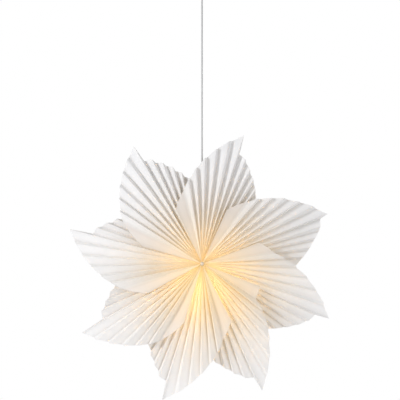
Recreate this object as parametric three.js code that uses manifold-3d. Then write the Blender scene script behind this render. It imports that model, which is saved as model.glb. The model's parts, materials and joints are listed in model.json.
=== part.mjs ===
// A pleated paper star lamp that hangs on its flex from a ceiling fitting.
// Millimetres, +Z up. The origin is on the ceiling, above the middle of the star. The star's plane is XZ and
// its front faces -Y. Angles on the star are degrees clockwise from the top, seen from the front.
import * as THREE from 'three';
import { mergeVertices } from 'three/addons/utils/BufferGeometryUtils.js';
import Module from 'manifold-3d';

const wasm = await Module();
wasm.setup();

// The star
const STAR_Z = -875; // height of the star's centre
const GAP = 0.3; // clearance between pieces that touch
const PETALS = [
  { angle: 18, radius: 400, step: 31, shoulder: 46 },
  { angle: 68, radius: 396, step: 30, shoulder: 12 },
  { angle: 113, radius: 400, step: 33, shoulder: 29 },
  { angle: 154.5, radius: 402, step: 38, shoulder: 32 },
  { angle: 196.5, radius: 406, step: 31.5, shoulder: 44 },
  { angle: 240.5, radius: 400, step: 26, shoulder: 60 },
  { angle: 285, radius: 400, step: 27.5, shoulder: 56 },
  { angle: 330, radius: 402, step: 24.5, shoulder: 42 },
];

// A petal is a fan of pleated panels, folded to both sides of a mountain fold on its middle line. It lies in
// front of the petal before it on its leading side, and behind the petal after it on its trailing side.
// Each leading pleat is cut shorter by the petal's step than the one nearer the middle line. The trailing
// side starts below the tip by the petal's shoulder. A side's pitch is the degrees for a pleat of two panels.
const PAPER = 0.5; // thickness of the folded sheet
const LEAD = { panels: 11, pitch: 5.5, skew: 0.24, notch: 2 };
const TRAIL = { panels: 12, pitch: 4.4, skew: 0.28, notch: 6, step: 22 };
const FLAP = { turn: -43.5, drop: 226 }; // the leading edge of the last panel, a wide one that stays flat
const TIP_FOLD = { turn: 0.8, drop: 12 }; // the valley fold beside the tip, and its drop below the shoulder
const INNER_RADIUS = 6; // where the petals are sewn together
const MIDDLE_RADIUS = 150; // where the pleats reach their full depth
const PANEL = 20; // width of one panel between two folds
const POLE_DEPTH = 92; // how far the sewn centre stands in front of the star's plane
const TIP_DEPTH = 2; // the same for a petal's glued tip
const SLOPE = 0.72; // mm towards the back for each degree across a petal, where it is fully spread
const POLE_SLOPE = 0.2; // the same at the sewn centre
const POLE_PLEAT = 3; // depth of the pleats at the sewn centre
const TIP_PLEAT = 5; // depth of the pleats at a tip
const SEAM_TAB = { turns: [-39, -33], radii: [125, 165], thick: 0.8 }; // sticks the last flap down

// The lamp inside the star, with heights from the star's centre
const HOLDER = { bore: 8.6, outer: 14, top: 2.6, floor: -4, bottom: -31 };
const HOLDER_CAP = { outer: 17, wall: 1.8, top: 16, bore: 3.2 };
const CLAMP_RING = { outer: 19, top: -2.8, bottom: -8 };
const SHELL = { inner: 7.2, outer: 8.2, top: -9, bottom: -28 };
const SPREADER = { ring: 16.6, half: 2.4, wire: 1.1, reach: 98 };
const BEAD = { radius: 5.2, front: 104, back: 88, bore: 1.5 };
const THREAD = { radius: 2.9, thick: 0.9, depth: 84 };
const BULB = { radius: 22.5, centre: -62, neck: 9.6, neckTop: -34, wall: 1, capRadius: 6.7, capTop: -10.5 };

// The flex and the ceiling fitting, with heights from the ceiling
const FLEX_R = 2.5;
const FLEX_STEP = 14;
const GRIP = { bottom: HOLDER_CAP.top + GAP, top: 40, inner: 2.8 };
const PIVOT = -70; // the point that the flex swings about
const NUT = { radius: 7.5, half: 5, bore: 3.9 };
const CUP = { rim: 48, base: 24, depth: 61.5, wall: 1.8, bore: 4.2 };
const PLATE = { radius: 38, thick: 2.5, screws: 26, hole: 2.3, wireHole: 7 };
const CEILING_SCREW = { head: 4, headHigh: 2.2, shank: 2 };
const TERMINAL = { wide: 30, deep: 16, high: 13, way: 7, hole: 1.8, screw: 2.2 };
const RELIEF = { radius: 9, high: 12, bore: 2.8, screw: 1.5 };

const material = (colour, roughness, metalness = 0) =>
  new THREE.MeshStandardMaterial({ color: colour, roughness, metalness });

const paper = material(0xf4f3ef, 0.9);
const whitePlastic = material(0xf2f2f0, 0.45);
const flexWhite = material(0xeeeeec, 0.55);
const brass = material(0xb9933f, 0.35, 1);
const steel = material(0xb8babd, 0.35, 1);
const opal = material(0xfff1d0, 0.25);
const ceramic = material(0xf6f4ee, 0.4);
const thread = material(0xe9e6dc, 0.9);

const star = new THREE.Group();

function add(name, geometry, finish, height = 0) {
  const mesh = new THREE.Mesh(geometry, finish.clone());
  mesh.name = name;
  mesh.position.z = height;
  star.add(mesh);
}

// A solid turned about Z from [radius, height] points.
function turned(points, sides = 24) {
  return new THREE.LatheGeometry(points.map(([r, z]) => new THREE.Vector2(r, z)), sides).rotateX(Math.PI / 2);
}

function disc(radius, low, high, sides = 24) {
  return turned([[0, low], [radius, low], [radius, high], [0, high]], sides);
}

function tube(inner, outer, low, high, sides = 24) {
  return turned([[inner, low], [outer, low], [outer, high], [inner, high], [inner, low]], sides);
}

function solid(geometry) {
  const bare = geometry.clone();
  bare.deleteAttribute('normal');
  bare.deleteAttribute('uv');
  const merged = mergeVertices(bare, 1e-4);
  return new wasm.Manifold(new wasm.Mesh({
    numProp: 3,
    vertProperties: new Float32Array(merged.attributes.position.array),
    triVerts: new Uint32Array(merged.index.array),
  }));
}

function geometryOf(body) {
  const { vertProperties, triVerts } = body.getMesh();
  const geometry = new THREE.BufferGeometry();
  geometry.setAttribute('position', new THREE.BufferAttribute(new Float32Array(vertProperties), 3));
  geometry.setIndex(new THREE.BufferAttribute(new Uint32Array(triVerts), 1));
  return geometry;
}

const cut = (body, ...holes) => geometryOf(
  holes.reduce((left, hole) => left.subtract(solid(hole)), solid(body)),
);
const join = (...bodies) => geometryOf(bodies.map(solid).reduce((left, right) => left.add(right)));

// Petals

const blend = (a, b, t) => a + (b - a) * Math.min(1, Math.max(0, t));

// The folds of a petal from its leading edge to its trailing edge: how far each is turned from the middle
// line, where it is cut, and its side, which is 0.5 on a mountain fold and -0.5 on a valley fold. A valley
// fold is skewed towards the mountain fold before it and its end is notched.
function folds(petal) {
  const list = [{ turn: FLAP.turn, cut: petal.radius - FLAP.drop, side: -0.5 }];
  for (let panel = -LEAD.panels; panel <= TRAIL.panels; panel += 1) {
    const flank = panel < 0 ? LEAD : TRAIL;
    const valley = panel % 2 !== 0;
    const pleats = Math.floor(panel / 2) + (valley ? flank.skew : 0);
    const side = valley ? -0.5 : 0.5;
    const drop = panel < 0 ? -petal.step * pleats : petal.shoulder + TRAIL.step * pleats;
    list.push({ turn: pleats * flank.pitch, cut: petal.radius - drop + flank.notch * side, side });
  }
  list[LEAD.panels + 1].cut = petal.radius;
  const besideTip = { turn: TIP_FOLD.turn, cut: petal.radius - petal.shoulder - TIP_FOLD.drop };
  Object.assign(list[LEAD.panels + 2], besideTip);
  return list;
}

// A point of a petal's front face: its fold, its radius and how far the face stands off the star's plane.
function petalPoint(petal, fold, radius) {
  const spread = (radius - INNER_RADIUS) / (MIDDLE_RADIUS - INNER_RADIUS);
  const slope = blend(POLE_SLOPE, SLOPE, spread);
  const mean = blend(POLE_DEPTH, TIP_DEPTH, radius / petal.radius) - slope * fold.turn;
  const { pitch } = fold.turn < 0 ? LEAD : TRAIL;
  const chord = radius * THREE.MathUtils.degToRad(pitch / 2);
  const open = Math.sqrt(Math.max(PANEL ** 2 - chord ** 2, TIP_PLEAT ** 2));
  const depth = mean + fold.side * blend(POLE_PLEAT, open, spread);
  const angle = THREE.MathUtils.degToRad(petal.angle + fold.turn);
  const off = Math.max(depth, PAPER + GAP);
  return new THREE.Vector3(radius * Math.sin(angle), -off, radius * Math.cos(angle));
}

// A closed sheet over rows of points, from lift to lift + thick behind them. Side 1 faces the front of the
// star, and side -1 is its mirror image, which faces the back.
function sheet(rows, lift, thick, side) {
  const columns = rows[0].length;
  const count = rows.length * columns;
  const layer = (raise) => rows.flat().flatMap((p) => [p.x, (p.y + raise) * side, p.z]);
  const positions = [lift, lift + thick].flatMap(layer);
  const faces = [];
  const quad = (a, b, c, d) => faces.push(a, b, c, a, c, d);
  const at = (row, column, level) => level * count + row * columns + column;
  const lastRow = rows.length - 1;
  const lastColumn = columns - 1;
  for (let row = 0; row < lastRow; row += 1) {
    for (let column = 0; column < lastColumn; column += 1) {
      quad(at(row, column, 0), at(row, column + 1, 0), at(row + 1, column + 1, 0), at(row + 1, column, 0));
      quad(at(row, column, 1), at(row + 1, column, 1), at(row + 1, column + 1, 1), at(row, column + 1, 1));
    }
    quad(at(row, 0, 0), at(row + 1, 0, 0), at(row + 1, 0, 1), at(row, 0, 1));
    quad(
      at(row, lastColumn, 0), at(row, lastColumn, 1),
      at(row + 1, lastColumn, 1), at(row + 1, lastColumn, 0),
    );
  }
  for (let column = 0; column < lastColumn; column += 1) {
    quad(at(0, column, 0), at(0, column, 1), at(0, column + 1, 1), at(0, column + 1, 0));
    quad(
      at(lastRow, column, 0), at(lastRow, column + 1, 0),
      at(lastRow, column + 1, 1), at(lastRow, column, 1),
    );
  }
  const geometry = new THREE.BufferGeometry();
  geometry.setAttribute('position', new THREE.Float32BufferAttribute(positions, 3));
  geometry.setIndex(side > 0 ? faces.reverse() : faces);
  return geometry;
}

function petalGeometry(petal, side) {
  const rows = folds(petal).map((fold) => {
    const radii = [INNER_RADIUS, MIDDLE_RADIUS, (MIDDLE_RADIUS + fold.cut) / 2, fold.cut];
    return radii.map((r) => petalPoint(petal, fold, r));
  });
  return sheet(rows, 0, PAPER, side);
}

// The tab under the first petal's flap, flat against the paper between the flap's two edges.
function tabGeometry(petal, side) {
  const [edge, fold] = folds(petal);
  const rows = SEAM_TAB.turns.map((turn) => SEAM_TAB.radii.map((r) => {
    const share = (turn - edge.turn) / (fold.turn - edge.turn);
    return petalPoint(petal, edge, r).lerp(petalPoint(petal, fold, r), share);
  }));
  return sheet(rows, PAPER + GAP, SEAM_TAB.thick, side);
}

function addStar() {
  PETALS.forEach((petal, i) => {
    add(`front_petal_${i + 1}`, petalGeometry(petal, 1), paper, STAR_Z);
    add(`rear_petal_${i + 1}`, petalGeometry(petal, -1), paper, STAR_Z);
  });
  add('front_seam_tab', tabGeometry(PETALS[0], 1), thread, STAR_Z);
  add('rear_seam_tab', tabGeometry(PETALS[0], -1), thread, STAR_Z);
}

// The wire that spreads the star: a ring round the lampholder with an arm to each sewn centre.
function addSpreader() {
  const arm = (SPREADER.reach + HOLDER.outer + 1) / 2;
  const arms = [-1, 1].map((side) => new THREE.CylinderGeometry(
    SPREADER.wire,
    SPREADER.wire,
    SPREADER.reach - HOLDER.outer - 1,
    10,
  ).translate(0, arm * side, 0));
  const ring = tube(HOLDER.outer + GAP, SPREADER.ring, -SPREADER.half, SPREADER.half, 32);
  add('spreader_wire', join(ring, ...arms), steel, STAR_Z);
}

// What gathers the pleats at a sewn centre: a bead on the wire's end and a loop of thread behind it.
function addCentre(name, side) {
  const { radius, front, back, bore } = BEAD;
  const rim = radius * 0.6;
  const bead = turned([[0, front], [rim, front - 1.2], [radius, front - 4], [radius, back + 3], [rim, back],
    [bore, back], [bore, SPREADER.reach + GAP], [0, SPREADER.reach + GAP]].reverse(), 20);
  add(`${name}_bead`, bead.rotateX(side * Math.PI / 2), whitePlastic, STAR_Z);
  const loop = new THREE.TorusGeometry(THREAD.radius, THREAD.thick, 8, 20).rotateX(Math.PI / 2);
  add(`${name}_thread`, loop.translate(0, -side * THREAD.depth, 0), thread, STAR_Z);
}

function addLampholder() {
  const { bore, outer, top, floor, bottom } = HOLDER;
  const cap = turned([[HOLDER_CAP.bore, HOLDER_CAP.top - HOLDER_CAP.wall], [9, 12], [14.4, 7], [14.4, 3],
    [HOLDER_CAP.outer, 3], [HOLDER_CAP.outer, 7], [11, HOLDER_CAP.top - 1.5], [8, HOLDER_CAP.top],
    [HOLDER_CAP.bore, HOLDER_CAP.top], [HOLDER_CAP.bore, HOLDER_CAP.top - HOLDER_CAP.wall]], 24);
  add('lampholder_cap', cap, whitePlastic, STAR_Z);
  add('lampholder_body', turned([[0, floor], [bore, floor], [bore, bottom], [outer, bottom], [outer, top],
    [0, top]], 32), whitePlastic, STAR_Z);
  const ring = tube(outer + GAP, CLAMP_RING.outer, CLAMP_RING.bottom, CLAMP_RING.top, 32);
  add('clamp_ring', ring, whitePlastic, STAR_Z);
  add('socket_insert', disc(bore - GAP, floor - 2.5, floor - GAP), ceramic, STAR_Z);
  add('screw_shell', tube(SHELL.inner, SHELL.outer, SHELL.bottom, SHELL.top), brass, STAR_Z);
  add('centre_contact', disc(2.4, floor - 5, floor - 2.5 - GAP, 12), brass, STAR_Z);
  const grip = turned([[GRIP.inner, GRIP.bottom], [6.5, GRIP.bottom], [6.5, GRIP.bottom + 5],
    [4.6, GRIP.bottom + 8], [3.7, GRIP.top], [GRIP.inner, GRIP.top], [GRIP.inner, GRIP.bottom]], 20);
  add('cord_grip', grip, whitePlastic, STAR_Z);
}

// Heights on the bulb's sphere, from its neck round to its lowest point.
function globe(radius, neck, centre, steps) {
  const start = Math.asin(neck / radius);
  return Array.from({ length: steps + 1 }, (_, i) => {
    const turn = start + ((Math.PI - start) * i) / steps;
    return [i === steps ? 0 : radius * Math.sin(turn), centre + radius * Math.cos(turn)];
  });
}

function addBulb() {
  const { radius, centre, neck, neckTop, wall, capRadius, capTop } = BULB;
  const outside = globe(radius, neck, centre, 9);
  const inside = globe(radius - wall, neck - wall, centre, 9).reverse();
  const glass = [...inside, [neck - wall, neckTop], [neck, neckTop], ...outside].reverse();
  add('bulb_glass', turned(glass, 20), opal, STAR_Z);
  add('bulb_cap', tube(4.4, capRadius, neckTop - 3, capTop, 24), brass, STAR_Z);
  add('bulb_insulator', turned([[0, capTop - 3], [4, capTop - 3], [4, capTop + 0.4], [1.8, capTop + 1.2],
    [0, capTop + 1.2]], 16), ceramic, STAR_Z);
  const stem = centre + 6;
  add('led_stem', turned([[0, stem], [6, stem], [6, stem + 1.6], [2.2, stem + 3], [2.2, neckTop - 4],
    [3.8, neckTop - 3], [3.8, capTop - 4], [0, capTop - 4]], 16), ceramic, STAR_Z);
}

function addFlex() {
  const low = STAR_Z + HOLDER_CAP.top - 1;
  const high = PIVOT + NUT.half - 1;
  const section = new THREE.Shape().absarc(0, 0, FLEX_R, 0, 2 * Math.PI);
  const path = new THREE.LineCurve3(new THREE.Vector3(0, 0, low), new THREE.Vector3(0, 0, high));
  const steps = Math.round((high - low) / FLEX_STEP);
  add('flex', new THREE.ExtrudeGeometry(section, { steps, curveSegments: 4, extrudePath: path }), flexWhite);
}

function addCeilingFitting() {
  const { rim, base, depth, wall, bore } = CUP;
  const cup = turned([[bore, -depth], [base, -depth], [base + 5, 3 - depth], [rim, -GAP - 6], [rim, -GAP],
    [rim - wall, -GAP], [rim - wall, -GAP - 6], [base + 4, 3 + wall - depth], [base - 1, wall - depth],
    [bore, wall - depth], [bore, -depth]], 32);
  add('ceiling_cup', cup, whitePlastic);
  const holes = [-1, 1].map((side) => disc(PLATE.hole, -PLATE.thick - 1, 1, 16)
    .translate(PLATE.screws * side, 0, 0));
  const wireHole = disc(PLATE.wireHole, -PLATE.thick - 1, 1).translate(0, 16, 0);
  add('ceiling_plate', cut(disc(PLATE.radius, -PLATE.thick, 0, 40), wireHole, ...holes), steel);
  ['left', 'right'].forEach((name, i) => {
    const { head, headHigh, shank } = CEILING_SCREW;
    const under = -PLATE.thick - GAP;
    const screw = turned([[0, under - headHigh], [head * 0.6, under - headHigh], [head, under - headHigh / 2],
      [head, under], [shank, under], [shank, -GAP], [0, -GAP]], 16);
    add(`ceiling_screw_${name}`, screw.translate(PLATE.screws * (2 * i - 1), 0, 0), steel);
  });
}

function addWiring() {
  const { wide, deep, high, way, hole, screw } = TERMINAL;
  const top = -PLATE.thick - GAP;
  const block = new THREE.BoxGeometry(wide, deep, high).translate(0, 0, top - high / 2);
  const ways = [-1, 1].map((side) => new THREE.CylinderGeometry(hole, hole, deep + 2, 12)
    .translate(way * side, 0, top - high / 2));
  const wells = [-1, 1].map((side) => disc(screw + GAP, top - high - 1, top - high + 3, 12)
    .translate(way * side, 0, 0));
  add('terminal_block', cut(block, ...ways, ...wells), ceramic);
  [-1, 1].forEach((side, i) => {
    const piece = disc(screw, top - high + 0.4, top - high + 2.6, 12).translate(way * side, 0, 0);
    add(`terminal_screw_${i + 1}`, piece, brass);
  });
  const floor = CUP.wall - CUP.depth + GAP;
  const relief = tube(RELIEF.bore, RELIEF.radius, floor, floor + RELIEF.high);
  const screwHole = new THREE.CylinderGeometry(RELIEF.screw + GAP, RELIEF.screw + GAP, 2 * RELIEF.radius, 12)
    .rotateZ(Math.PI / 2).translate(RELIEF.radius, 0, floor + RELIEF.high / 2);
  add('strain_relief', cut(relief, screwHole), whitePlastic);
  const grub = new THREE.CylinderGeometry(RELIEF.screw, RELIEF.screw, RELIEF.radius - RELIEF.bore - 1, 12)
    .rotateZ(Math.PI / 2).translate((RELIEF.radius + RELIEF.bore) / 2 + GAP, 0, floor + RELIEF.high / 2);
  add('grub_screw', grub, steel);
  add('flex_tail', disc(FLEX_R, floor, top - high - GAP, 8), flexWhite);
}

// The nut that the flex comes out of, a ball's middle slice, so it can tilt under the cup.
function addNut() {
  const { radius, half, bore } = NUT;
  const edge = Math.asin(half / radius);
  const bulge = Array.from({ length: 5 }, (_, i) => {
    const turn = -edge + (2 * edge * i) / 4;
    return [radius * Math.cos(turn), PIVOT + radius * Math.sin(turn)];
  });
  const nut = turned([[bore, PIVOT - half], ...bulge, [bore, PIVOT + half], [bore, PIVOT - half]], 24);
  add('swing_nut', nut, whitePlastic);
}

addStar();
addSpreader();
addCentre('front', 1);
addCentre('rear', -1);
addLampholder();
addBulb();
addFlex();
addNut();
addCeilingFitting();
addWiring();

export default star;
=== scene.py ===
"""A pleated paper star lamp, hanging on its flex.

Everything is in metres, in the CAD part's frame: +Z is up, the star's plane is XZ and its front faces -Y.
Angles on the star are in degrees clockwise from the top, seen from the front.
"""

import json
import math
import random

import bpy
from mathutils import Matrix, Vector


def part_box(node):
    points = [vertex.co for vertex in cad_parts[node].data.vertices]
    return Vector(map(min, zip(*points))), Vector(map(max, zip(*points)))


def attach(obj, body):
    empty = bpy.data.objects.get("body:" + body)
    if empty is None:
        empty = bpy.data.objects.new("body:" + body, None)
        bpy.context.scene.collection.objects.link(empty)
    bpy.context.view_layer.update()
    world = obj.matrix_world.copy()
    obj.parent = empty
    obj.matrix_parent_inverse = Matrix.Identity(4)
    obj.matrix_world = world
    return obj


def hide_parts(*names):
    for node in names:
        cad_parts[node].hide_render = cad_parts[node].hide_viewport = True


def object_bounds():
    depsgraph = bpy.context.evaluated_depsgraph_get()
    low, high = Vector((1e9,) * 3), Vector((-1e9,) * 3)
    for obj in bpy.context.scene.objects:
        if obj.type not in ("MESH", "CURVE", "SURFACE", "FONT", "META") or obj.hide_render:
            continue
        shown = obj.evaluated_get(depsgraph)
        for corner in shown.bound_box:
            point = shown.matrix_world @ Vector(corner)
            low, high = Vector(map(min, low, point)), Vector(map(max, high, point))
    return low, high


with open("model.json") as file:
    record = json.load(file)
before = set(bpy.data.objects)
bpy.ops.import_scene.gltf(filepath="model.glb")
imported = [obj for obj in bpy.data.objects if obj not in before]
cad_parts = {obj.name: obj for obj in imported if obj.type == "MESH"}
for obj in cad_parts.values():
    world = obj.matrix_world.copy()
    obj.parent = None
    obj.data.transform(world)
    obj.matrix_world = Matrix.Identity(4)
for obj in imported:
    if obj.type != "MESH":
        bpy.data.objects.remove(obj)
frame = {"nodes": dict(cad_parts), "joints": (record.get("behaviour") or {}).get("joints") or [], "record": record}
cad_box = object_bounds()
joints = {joint["name"]: joint for joint in frame["joints"]}

# The star, as the CAD part has it
CENTRE = Vector(joints["seam_open"]["pos_m"])
# Each petal's angle and length, how much shorter each leading pleat is than the one nearer the tip, how far
# below the tip the trailing side starts, and how deep the notches in the trailing side's cut edge are
PETALS = [
    (18, 0.400, 0.031, 0.046, 0.003),
    (68, 0.396, 0.030, 0.012, 0),
    (113, 0.400, 0.033, 0.029, 0.001),
    (154.5, 0.402, 0.038, 0.032, 0.004),
    (196.5, 0.406, 0.0315, 0.044, 0.005),
    (240.5, 0.400, 0.026, 0.060, 0.005),
    (285, 0.400, 0.0275, 0.056, 0.006),
    (330, 0.402, 0.0245, 0.042, 0.006),
]
LEAD_PANELS, TRAIL_PANELS = 11, 12
LEAD_PITCH, TRAIL_PITCH = 5.5, 4.4  # degrees for each pleat of two panels
LEAD_SKEW, TRAIL_SKEW = 0.24, 0.28  # how far across its pleat a valley fold is, clockwise
LEAD_NOTCH = 0.002  # how deep the notches in the leading side's cut edge are
TRAIL_STEP = 0.022  # how much shorter each trailing pleat is than the one nearer the tip
FLAP_TURN, FLAP_DROP = -43.5, 0.226  # the leading edge of the wide flat panel, and how much shorter it is
TIP_TURN, TIP_DROP = 0.8, 0.012  # the valley fold beside the tip, and its drop below the shoulder
INNER_RADIUS = 0.006  # where the petals are sewn together
MIDDLE_RADIUS = 0.150  # where the pleats have opened fully
PANEL = 0.020  # width of one panel between two folds
POLE_DEPTH, TIP_DEPTH = 0.092, 0.002  # how far in front of the star's plane a petal starts and ends
POLE_SLOPE, SLOPE = 0.0002, 0.00072  # depth for each degree across a petal, at its start and further out
POLE_PLEAT, TIP_PLEAT = 0.003, 0.005  # how deep the pleats are at the start, and at least are further out
LEAST_DEPTH = 0.0008  # how near the front paper comes to the star's plane

# How finely the paper is made, and how unevenly
ACROSS = 6  # strips across a panel
ALONG = 26  # strips from the middle to the cut edge
ALONG_POWER = 0.9  # under 1, so the strips get narrower towards the cut edge
ROUND = 0.35  # how much of a fold's section is rounded
TURN_JITTER = 0.22  # degrees
DEPTH_JITTER = 0.10  # share of a pleat's depth
CUT_JITTER = 0.0008  # how far a fold's end is off the cut line

# How the lamp lights the paper: a wide glow and a bright patch over the bulb, in the star's plane
GLOW_CENTRE, GLOW_REACH = Vector((0.016, -0.040)), 0.175
BULB_CENTRE, BULB_REACH = Vector((0.004, -0.050)), 0.055
PAPER_TRANSLUCENCY = 0.12  # share of the light that goes through
PAPER_GLOW = 0.18  # how brightly the paper glows where the glow is strongest

# The beads, in millimetres from the star's centre
BEAD_MIDDLE, BEAD_HALF, BEAD_RADIUS = 96, 8, 5.2
BEAD_HOLE, BEAD_HOLE_END = 1.5, 98.3

# The view
VIEW_DISTANCE = 3.0
VIEW_WIDTH = 1.176  # how much the view takes in at the star
VIEW_OFFSET = Vector((-0.006, 0, 0.190))  # from the star's centre to the middle of the view
CAMERA_BELOW = 0.09  # how far the camera is below the star's centre
SENSOR = 36  # millimetres
FLOOR_DROP = 0.25  # from the star's lowest tip to the floor


def camera():
    """The main view, level with the lower half of the star."""
    data = bpy.data.cameras.new("camera")
    data.sensor_width = SENSOR
    target = CENTRE + VIEW_OFFSET
    eye = Vector((target.x, -VIEW_DISTANCE, CENTRE.z - CAMERA_BELOW))
    data.lens = SENSOR * (target - eye).length / VIEW_WIDTH
    obj = bpy.data.objects.new("camera", data)
    obj.location = eye
    obj.rotation_mode = "QUATERNION"
    obj.rotation_quaternion = (target - eye).to_track_quat("-Z", "Y")
    bpy.context.collection.objects.link(obj)
    bpy.context.scene.camera = obj


# Materials


class Nodes:
    """A new material's node tree, with short calls that add and link nodes."""

    def __init__(self, name):
        self.material = bpy.data.materials.new(name)
        self.material.use_nodes = True
        self.tree = self.material.node_tree
        self.tree.nodes.clear()
        self.out = self.add("ShaderNodeOutputMaterial")
        self.coords = self.add("ShaderNodeTexCoord").outputs["Object"]

    def add(self, kind, **values):
        node = self.tree.nodes.new(kind)
        for key, value in values.items():
            setattr(node, key, value)
        return node

    def attribute(self, name):
        return self.add("ShaderNodeAttribute", attribute_name=name).outputs["Fac"]

    def link(self, a, b):
        self.tree.links.new(a, b)

    def noise(self, scale, detail=4.0, vector=None):
        node = self.add("ShaderNodeTexNoise")
        node.inputs["Scale"].default_value = scale
        node.inputs["Detail"].default_value = detail
        self.link(vector or self.coords, node.inputs["Vector"])
        return node.outputs["Fac"]

    def ramp(self, value, *stops):
        node = self.add("ShaderNodeValToRGB")
        elements = node.color_ramp.elements
        while len(elements) < len(stops):
            elements.new(0.5)
        for element, (at, colour) in zip(elements, stops):
            element.position = at
            element.color = (*colour, 1)
        self.link(value, node.inputs["Fac"])
        return node.outputs["Color"]

    def blend(self, how, share, a, b):
        """Two colours blended. The share and the second colour may be sockets or plain values."""
        node = self.add("ShaderNodeMix", data_type="RGBA", blend_type=how)
        self.link(a, node.inputs["A"])
        for value, socket in ((share, node.inputs["Factor"]), (b, node.inputs["B"])):
            if isinstance(value, bpy.types.NodeSocket):
                self.link(value, socket)
            else:
                socket.default_value = value if isinstance(value, float) else (*value, 1)
        return node.outputs["Result"]

    def span(self, value, low, high):
        """value, which goes from 0 to 1, taken to the span from low to high."""
        node = self.add("ShaderNodeMapRange")
        node.inputs["To Min"].default_value = low
        node.inputs["To Max"].default_value = high
        self.link(value, node.inputs["Value"])
        return node.outputs["Result"]

    def bump(self, height, strength, distance):
        node = self.add("ShaderNodeBump")
        node.inputs["Strength"].default_value = strength
        node.inputs["Distance"].default_value = distance
        self.link(height, node.inputs["Height"])
        return node.outputs["Normal"]

    def principled(self, colour, roughness, normal=None, **values):
        node = self.add("ShaderNodeBsdfPrincipled")
        self.link(colour, node.inputs["Base Color"])
        self.link(roughness, node.inputs["Roughness"])
        if normal:
            self.link(normal, node.inputs["Normal"])
        for key, value in values.items():
            node.inputs[key.replace("_", " ")].default_value = value
        return node.outputs["BSDF"]

    def finish(self, shader):
        self.link(shader, self.out.inputs["Surface"])
        return self.material


def paper():
    """Uncoated white paper that lets the lamp's light through. Its valley folds are darkened with painted shade,
    and its mountain folds a little with wear.
    Light that goes to and fro between the warm pleats near the middle tints them, yellowest in front of the bulb."""
    n = Nodes("paper")
    fibre = n.noise(420, 6)
    cloud = n.noise(9, 3)
    fold_shade_and_rub, glow, bulb, doubled = (n.attribute(name) for name in ("fold_shade_and_rub", "glow", "bulb", "doubled"))
    white = n.ramp(cloud, (0.35, (0.87, 0.875, 0.89)), (0.65, (0.90, 0.905, 0.925)))
    # painted shade darkens the valley folds, and wear darkens the mountain folds a little
    shaded_and_rubbed = n.blend("MULTIPLY", n.span(fold_shade_and_rub, 0, 0.55), white, (0.78, 0.76, 0.74))
    speck = n.blend("MULTIPLY", 0.3, shaded_and_rubbed, n.ramp(fibre, (0.3, (0.95, 0.945, 0.93)), (0.6, (1, 1, 1))))
    warm = n.blend("MULTIPLY", n.span(glow, 0, 0.85), speck, (0.97, 0.78, 0.50))
    # painted shade: the doubled wide panel is darker and warmer, standing in for the lamp light that two layers of
    # paper hold back
    layer_shaded = n.blend("MULTIPLY", doubled, warm, (0.90, 0.86, 0.83))
    relief = n.bump(fibre, 0.12, 0.0002)
    face = n.principled(layer_shaded, n.span(fibre, 0.78, 0.95), relief, Sheen_Weight=0.05)
    through = n.add("ShaderNodeBsdfTranslucent")
    n.link(n.ramp(cloud, (0.3, (1.0, 0.90, 0.72)), (0.7, (1.0, 0.93, 0.78))), through.inputs["Color"])
    mixed = n.add("ShaderNodeMixShader")
    mixed.inputs["Fac"].default_value = PAPER_TRANSLUCENCY
    n.link(face, mixed.inputs[1])
    n.link(through.outputs["BSDF"], mixed.inputs[2])
    orange = n.ramp(glow, (0.0, (1.0, 0.84, 0.66)), (0.8, (1.0, 0.74, 0.36)))
    lit = n.add("ShaderNodeEmission")
    n.link(n.blend("MIX", bulb, orange, (1.0, 0.86, 0.34)), lit.inputs["Color"])
    n.link(n.span(glow, 0, PAPER_GLOW), lit.inputs["Strength"])
    both = n.add("ShaderNodeAddShader")
    n.link(mixed.outputs["Shader"], both.inputs[0])
    n.link(lit.outputs["Emission"], both.inputs[1])
    return n.finish(both.outputs["Shader"])


def moulded(name, colour, roughness, grain=700):
    """Moulded plastic or glazed ceramic with a fine grain and a faint uneven gloss."""
    n = Nodes(name)
    cloud = n.noise(35, 3)
    fine = n.noise(grain, 3)
    shade = tuple(c * 0.95 for c in colour)
    face = n.principled(
        n.ramp(cloud, (0.35, shade), (0.65, colour)),
        n.span(cloud, roughness - 0.06, roughness + 0.06),
        n.bump(fine, 0.12, 0.0002),
        Coat_Weight=0.1,
    )
    return n.finish(face)


def metal(name, colour, roughness):
    """Drawn metal with fine lines round it and a little tarnish."""
    n = Nodes(name)
    stretch = n.add("ShaderNodeMapping")
    stretch.inputs["Scale"].default_value = (1, 1, 14)
    n.link(n.coords, stretch.inputs["Vector"])
    lines = n.noise(260, 4, stretch.outputs["Vector"])
    cloud = n.noise(60, 4)
    dull = tuple(c * 0.8 for c in colour)
    face = n.principled(
        n.ramp(cloud, (0.35, dull), (0.62, colour)),
        n.span(lines, roughness - 0.1, roughness + 0.14),
        n.bump(lines, 0.15, 0.0002),
        Metallic=1.0,
    )
    return n.finish(face)


def woven(name, colour):
    """Twisted cotton thread, and the fibre of a cloth tab."""
    n = Nodes(name)
    wave = n.add("ShaderNodeTexWave", wave_type="BANDS", bands_direction="DIAGONAL")
    wave.inputs["Scale"].default_value = 900
    wave.inputs["Distortion"].default_value = 2.0
    n.link(n.coords, wave.inputs["Vector"])
    strands = wave.outputs["Fac"]
    shade = tuple(c * 0.8 for c in colour)
    face = n.principled(
        n.ramp(strands, (0.2, shade), (0.8, colour)),
        n.span(strands, 0.95, 0.8),
        n.bump(strands, 0.5, 0.0003),
        Sheen_Weight=0.2,
    )
    return n.finish(face)


def sheath():
    """The flex's sheath: smooth, with a faint mottle where it has been handled."""
    n = Nodes("flex_sheath")
    cloud = n.noise(24, 3)
    face = n.principled(
        n.ramp(cloud, (0.3, (0.52, 0.52, 0.52)), (0.7, (0.56, 0.56, 0.56))),
        n.span(n.noise(500), 0.42, 0.58),
        n.bump(cloud, 0.1, 0.0002),
    )
    return n.finish(face)


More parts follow.
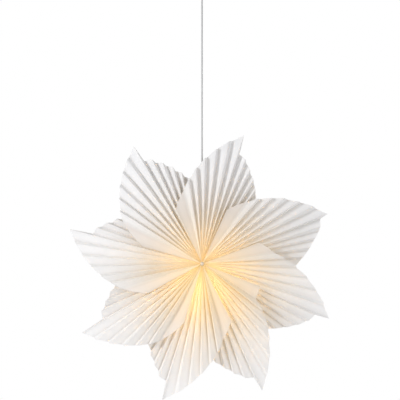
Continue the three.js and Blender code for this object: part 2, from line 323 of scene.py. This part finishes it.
def opal():
    """The lit opal glass of the bulb."""
    n = Nodes("opal_glass")
    cloud = n.noise(120, 2)
    face = n.principled(
        n.ramp(cloud, (0.3, (1.0, 0.93, 0.80)), (0.7, (1.0, 0.96, 0.88))),
        n.span(cloud, 0.18, 0.26),
        Emission_Color=(1.0, 0.76, 0.40, 1),
        Emission_Strength=5.0,
        Coat_Weight=0.3,
    )
    return n.finish(face)


# Shapes


def new_object(name, verts, faces, material, smooth_angle=None):
    mesh = bpy.data.meshes.new(name)
    mesh.from_pydata(verts, [], faces)
    mesh.materials.append(material)
    mesh.validate()
    obj = bpy.data.objects.new(name, mesh)
    bpy.context.collection.objects.link(obj)
    if smooth_angle is not None:
        mesh.shade_smooth()
        mesh.set_sharp_from_angle(angle=math.radians(smooth_angle))
    return obj


def lathe(name, profile, centre, material, axis, sides=72, smooth_angle=38):
    """A solid turned about the Y or Z axis. The profile's points are (radius, height), in a closed loop or in
    a line that starts and ends on the axis."""
    closed = profile[0][0] > 0
    verts, faces = [], []
    for radius, height in profile:
        for i in range(sides):
            turn = 2 * math.pi * i / sides
            x, y = radius * math.cos(turn), radius * math.sin(turn)
            verts.append((x, y, height) if axis == "Z" else (x, height, -y))
    rows = len(profile)
    for row in range(rows if closed else rows - 1):
        after = (row + 1) % rows
        for i in range(sides):
            j = (i + 1) % sides
            faces.append((row * sides + i, row * sides + j, after * sides + j, after * sides + i))
    obj = new_object(name, verts, faces, material)
    obj.location = centre
    weld = obj.modifiers.new("weld", "WELD")
    weld.merge_threshold = 1e-6
    bake(obj)
    obj.data.shade_smooth()
    obj.data.set_sharp_from_angle(angle=math.radians(smooth_angle))
    return obj


def bake(obj):
    """Applies the object's modifiers to its mesh."""
    evaluated = obj.evaluated_get(bpy.context.evaluated_depsgraph_get())
    mesh = bpy.data.meshes.new_from_object(evaluated)
    obj.modifiers.clear()
    obj.data = mesh


def rounded(profile, radius, steps=4):
    """The profile with each corner that has the room rounded to the radius. Points on the axis stay."""
    out = []
    count = len(profile)
    closed = profile[0][0] > 0
    for i, point in enumerate(profile):
        here = Vector(point)
        if not closed and i in (0, count - 1):
            out.append(point)
            continue
        before, after = Vector(profile[i - 1]), Vector(profile[(i + 1) % count])
        reach = min(radius, (before - here).length * 0.45, (after - here).length * 0.45)
        start = here + (before - here).normalized() * reach
        end = here + (after - here).normalized() * reach
        for step in range(steps + 1):
            t = step / steps
            out.append(tuple(start * (1 - t) ** 2 + here * 2 * t * (1 - t) + end * t * t))
    return out


# Paper petals


def mix(a, b, t):
    return a + (b - a) * min(1, max(0, t))


def folds(length, step, shoulder, notch):
    """A petal's folds from its leading edge to its trailing edge: how far each is turned from the tip, the
    radius it is cut at, and its side, which is 0.5 on a mountain fold and -0.5 on a valley fold."""
    made = [(FLAP_TURN, length - FLAP_DROP, -0.5)]
    for panel in range(-LEAD_PANELS, TRAIL_PANELS + 1):
        lead, valley = panel < 0, panel % 2
        pitch, skew = (LEAD_PITCH, LEAD_SKEW) if lead else (TRAIL_PITCH, TRAIL_SKEW)
        pleats = panel // 2 + (skew if valley else 0)
        side = -0.5 if valley else 0.5
        if lead:
            cut = length + step * pleats + LEAD_NOTCH * side
        else:
            cut = length - shoulder - TRAIL_STEP * pleats + notch * side
        made.append((pleats * pitch, cut, side))
    tip = LEAD_PANELS + 1
    made[tip] = (0, length, 0.5)
    made[tip + 1] = (TIP_TURN, length - shoulder - TIP_DROP, -0.5)
    return made


def off_plane(length, turn, radius, side):
    """How far a point of a petal is in front of the star's plane."""
    spread = (radius - INNER_RADIUS) / (MIDDLE_RADIUS - INNER_RADIUS)
    mean = mix(POLE_DEPTH, TIP_DEPTH, radius / length) - mix(POLE_SLOPE, SLOPE, spread) * turn
    chord = radius * math.radians((LEAD_PITCH if turn < 0 else TRAIL_PITCH) / 2)
    full = math.sqrt(max(PANEL**2 - chord**2, TIP_PLEAT**2))
    return mean + side * mix(POLE_PLEAT, full, spread)


def shade_and_rub(side):
    """How much a fold is darkened. A valley fold gets painted shade, as in the shaded hollow of a pleat, and a
    mountain fold gets a little darkening from wear.
    """
    return 1.0 if side < 0 else 0.3


def falloff(away, reach):
    """1 where away is zero, and less the further away is."""
    return math.exp(-((away.length / reach) ** 2))


def uneven(made, rnd):
    """The folds as hands make them. The leading edge, the tip and the fold beside it keep their places."""
    out = []
    for turn, cut, side in made:
        inner = FLAP_TURN < turn < 0 or turn > TIP_TURN
        out.append((
            turn + (rnd.uniform(-1, 1) * TURN_JITTER if inner else 0),
            cut + (rnd.uniform(-1, 1) * CUT_JITTER if inner else 0),
            side * (1 + rnd.uniform(-1, 1) * DEPTH_JITTER),
        ))
    return out


def strips(made):
    """Lines from the star's middle to a petal's cut edge, several on each panel: turn, cut radius, side, how much
    painted shade on valley folds and wear on mountain folds darken the paper, and whether it is doubled, as the
    wide panel over the petal before it is."""
    lines = []
    for k, ((turn, cut, side), (turn_b, cut_b, side_b)) in enumerate(zip(made, made[1:])):
        for i in range(ACROSS):
            t = i / ACROSS
            bend = t * (1 - ROUND) + ROUND * (t * t * (3 - 2 * t))
            # painted shade along a valley fold and wear along a mountain fold, fading out a third of the way
            # across the panel
            fold_shade_and_rub = max(shade_and_rub(side) * (1 - 3 * t), shade_and_rub(side_b) * (3 * t - 2), 0.0)
            doubled = 1.0 if k == 0 else 0.0
            lines.append((mix(turn, turn_b, t), mix(cut, cut_b, t), mix(side, side_b, bend), fold_shade_and_rub, doubled))
    turn, cut, side = made[-1]
    lines.append((turn, cut, side, shade_and_rub(side), 0.0))
    return lines


def petal(name, shape, facing, material, seed):
    """One pleated fan. facing is 1 for the front of the star and -1 for the back."""
    angle, length, *outline = shape
    lines = strips(uneven(folds(length, *outline), random.Random(seed)))
    verts = []
    values = {"fold_shade_and_rub": [], "glow": [], "bulb": [], "doubled": []}
    for turn, cut, side, fold_shade_and_rub, doubled in lines:
        at = math.radians(angle + turn)
        for j in range(ALONG + 1):
            radius = mix(INNER_RADIUS, cut, (j / ALONG) ** ALONG_POWER)
            depth = max(off_plane(length, turn, radius, side), LEAST_DEPTH)
            x, z = radius * math.sin(at), radius * math.cos(at)
            verts.append((x, -depth * facing, z))
            values["fold_shade_and_rub"].append(fold_shade_and_rub)
            values["glow"].append(falloff(Vector((x, z)) - GLOW_CENTRE, GLOW_REACH))
            values["bulb"].append(falloff(Vector((x, z)) - BULB_CENTRE, BULB_REACH))
            values["doubled"].append(doubled)
    columns = ALONG + 1
    faces = []
    for row in range(len(lines) - 1):
        for j in range(ALONG):
            a = row * columns + j
            face = (a, a + columns, a + columns + 1, a + 1)
            faces.append(face if facing > 0 else face[::-1])
    obj = new_object(name, verts, faces, material, 60)
    obj.location = CENTRE
    for key, numbers in values.items():
        obj.data.attributes.new(key, "FLOAT", "POINT").data.foreach_set("value", numbers)
    return obj


def add_petals(finish):
    for i, shape in enumerate(PETALS, 1):
        for layer, facing in (("front", 1), ("rear", -1)):
            node = f"{layer}_petal_{i}"
            piece = petal(f"{node}_paper", shape, facing, finish, i * 2 + (facing > 0))
            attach(piece, f"petal_{i}")
            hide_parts(node)


def add_flex(finish):
    """The flex goes straight up from the lampholder's grip to the fitting's pieces."""
    low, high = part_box("flex")
    radius = (high.x - low.x) / 2
    curve = bpy.data.curves.new("flex_cord", "CURVE")
    curve.dimensions = "3D"
    curve.bevel_depth = radius
    curve.bevel_resolution = 6
    curve.use_fill_caps = True
    spline = curve.splines.new("POLY")
    steps = 24
    spline.points.add(steps)
    for i, point in enumerate(spline.points):
        point.co = (0, 0, mix(low.z, high.z, i / steps), 1)
    curve.materials.append(finish)
    obj = bpy.data.objects.new("flex_cord", curve)
    bpy.context.collection.objects.link(obj)
    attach(obj, "flex")
    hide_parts("flex")


def finishes():
    """The material of each slot in the record."""
    white = moulded("white_plastic", (0.86, 0.86, 0.84), 0.38)
    steel = metal("zinc_steel", (0.62, 0.63, 0.65), 0.34)
    brass = metal("brass", (0.72, 0.53, 0.22), 0.3)
    cream = moulded("ceramic", (0.85, 0.83, 0.77), 0.3)
    cotton = woven("cotton", (0.86, 0.83, 0.75))
    return {
        "star_paper": paper(),
        "thread_and_tab": cotton,
        "flex_sheath": sheath(),
        "spreader_steel": steel,
        "zinc_steel": steel,
        "socket_brass": brass,
        "bulb_cap_metal": metal("bulb_cap_metal", (0.78, 0.77, 0.73), 0.3),
        "bulb_opal": opal(),
        "insulator": cream,
        "bead": moulded("ivory_bead", (0.86, 0.74, 0.60), 0.3),
        "ceiling_plastic": white,
        "holder_plastic": white,
    }


def finish_nodes(materials):
    """Gives each kept CAD node its material."""
    for part in frame["record"]["subparts"]:
        for slot in frame["nodes"][part["node"]].material_slots:
            slot.material = materials[part["material_slot"]]


def arc(radius, centre, start, end, steps):
    """Points of a circle about (0, centre) from one angle to another, in degrees from straight up."""
    turns = [math.radians(mix(start, end, i / steps)) for i in range(steps + 1)]
    return [(max(0.0, radius * math.sin(turn)), centre + radius * math.cos(turn)) for turn in turns]


def bead_profile(facing):
    """An egg-shaped bead on the star's middle, with a blind hole for the thread's knot."""
    turns = [math.radians(turn) for turn in range(10, 161, 10)]
    points = [(0, BEAD_MIDDLE + BEAD_HALF)]
    points += [(BEAD_RADIUS * math.sin(turn), BEAD_MIDDLE + BEAD_HALF * math.cos(turn)) for turn in turns]
    points += [(BEAD_HOLE, BEAD_MIDDLE - BEAD_HALF), (BEAD_HOLE, BEAD_HOLE_END), (0, BEAD_HOLE_END)]
    return [(radius, -facing * height) for radius, height in points]


def turned_shapes():
    """Each turned piece's node, body, profile in millimetres, corner radius, centre and axis."""
    glass = [(9.6, -34), (9.6, -40.5), *arc(22.5, -62, 26, 180, 40), *arc(21.5, -62, 180, 25, 40), (8.6, -34)]
    nut = [*arc(7.5, -70, 48.19, 131.81, 20), (3.9, -75), (3.9, -65)]
    cup = [(4.2, -61.5), (24, -61.5), (29, -58.5), (48, -6.3), (48, -0.3), (46.2, -0.3), (46.2, -6.3),
           (28, -56.7), (23, -59.7), (4.2, -59.7)]
    cap = [(3.2, 14.2), (9, 12), (14.4, 7), (14.4, 3), (17, 3), (17, 7), (11, 14.5), (8, 16), (3.2, 16)]
    body = [(0, -4), (8.6, -4), (8.6, -31), (14, -31), (14, 2.6), (0, 2.6)]
    grip = [(2.8, 16.3), (6.5, 16.3), (6.5, 21.3), (4.6, 24.3), (3.7, 40), (2.8, 40)]
    ring = [(14.3, -8), (19, -8), (19, -2.8), (14.3, -2.8)]
    ceiling = Vector((0, 0, 0))
    return [
        ("front_bead", "lamp", bead_profile(1), 0, CENTRE, "Y"),
        ("rear_bead", "lamp", bead_profile(-1), 0, CENTRE, "Y"),
        ("bulb_glass", "bulb", glass, 0, CENTRE, "Z"),
        ("swing_nut", "swing_nut", nut, 0.3, ceiling, "Z"),
        ("ceiling_cup", "ceiling_fitting", cup, 2.5, ceiling, "Z"),
        ("lampholder_cap", "lamp", cap, 1.0, CENTRE, "Z"),
        ("lampholder_body", "lamp", body, 0.8, CENTRE, "Z"),
        ("cord_grip", "lamp", grip, 1.2, CENTRE, "Z"),
        ("clamp_ring", "clamp_ring", ring, 0.8, CENTRE, "Z"),
    ]


def add_turned_pieces(materials):
    """The turned pieces by node name, finer than their CAD solids and with rounded corners."""
    slots = {part["node"]: part["material_slot"] for part in frame["record"]["subparts"]}
    pieces = {}
    for node, rides, points, corner, centre, axis in turned_shapes():
        outline = rounded(points, corner) if corner else points
        profile = [(radius / 1000, height / 1000) for radius, height in outline]
        piece = lathe(f"{node}_turned", profile, centre, materials[slots[node]], axis)
        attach(piece, rides)
        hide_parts(node)
        pieces[node] = piece
    pieces["bulb_glass"].visible_shadow = False
    return pieces


# Light and floor, with each light's place from the star's centre

KEY = {"place": Vector((-3.4, -2.6, 0.9)), "size": 0.6, "power": 98, "colour": (0.98, 0.985, 1.0)}
FILL = {"place": Vector((2.4, -3.4, 0.0)), "size": 2.0, "power": 54, "colour": (0.95, 0.965, 1.0)}
BACK = {"place": Vector((1.6, 3.6, 0.8)), "size": 1.6, "power": 60, "colour": (0.98, 0.99, 1.0)}
LAMP = {"power": 1.0, "radius": 0.02, "colour": (1.0, 0.70, 0.34)}
SKY = 0.42  # how brightly the white surroundings light the star


def area_light(name, place, size, power, colour):
    data = bpy.data.lights.new(name, "AREA")
    data.size = size
    data.energy = power
    data.color = colour
    obj = bpy.data.objects.new(name, data)
    obj.location = CENTRE + place
    obj.rotation_mode = "QUATERNION"
    obj.rotation_quaternion = (-place).to_track_quat("-Z", "Y")
    bpy.context.collection.objects.link(obj)


def lamp_light():
    low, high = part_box("bulb_glass")
    data = bpy.data.lights.new("lamp_light", "POINT")
    data.energy = LAMP["power"]
    data.color = LAMP["colour"]
    data.shadow_soft_size = LAMP["radius"]
    obj = bpy.data.objects.new("lamp_light", data)
    obj.location = (0, 0, low.z + (high.x - low.x) / 2)
    bpy.context.collection.objects.link(obj)
    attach(obj, "bulb")


def surroundings():
    world = bpy.data.worlds.new("world")
    bpy.context.scene.world = world
    world.use_nodes = True
    tree = world.node_tree
    background = tree.nodes["Background"]
    background.inputs["Color"].default_value = (1, 1, 1, 1)
    path = tree.nodes.new("ShaderNodeLightPath")
    strength = tree.nodes.new("ShaderNodeMapRange")
    strength.inputs["To Min"].default_value = SKY
    strength.inputs["To Max"].default_value = 1.0
    tree.links.new(path.outputs["Is Camera Ray"], strength.inputs["Value"])
    tree.links.new(strength.outputs["Result"], background.inputs["Strength"])
    bpy.context.scene.view_settings.view_transform = "Standard"


def floor():
    n = Nodes("pale_floor")
    face = n.principled(
        n.ramp(n.noise(3, 2), (0.4, (0.86, 0.86, 0.855)), (0.6, (0.88, 0.88, 0.875))),
        n.span(n.noise(40), 0.7, 0.8),
        Emission_Color=(1, 1, 1, 1),
        Emission_Strength=0.1,
    )
    sides, radius = 64, 1.5
    turns = [2 * math.pi * i / sides for i in range(sides)]
    rim = [(radius * math.cos(turn), radius * math.sin(turn), 0) for turn in turns]
    obj = new_object("floor", rim, [tuple(range(sides))], n.finish(face))
    obj.location = (0, 0, cad_box[0].z - FLOOR_DROP)


camera()
materials = finishes()
turned = add_turned_pieces(materials)
add_flex(materials["flex_sheath"])
surroundings()
area_light("key_light", **KEY)
area_light("fill_light", **FILL)
area_light("back_light", **BACK)
lamp_light()
floor()
finish_nodes(materials)
add_petals(materials["star_paper"])
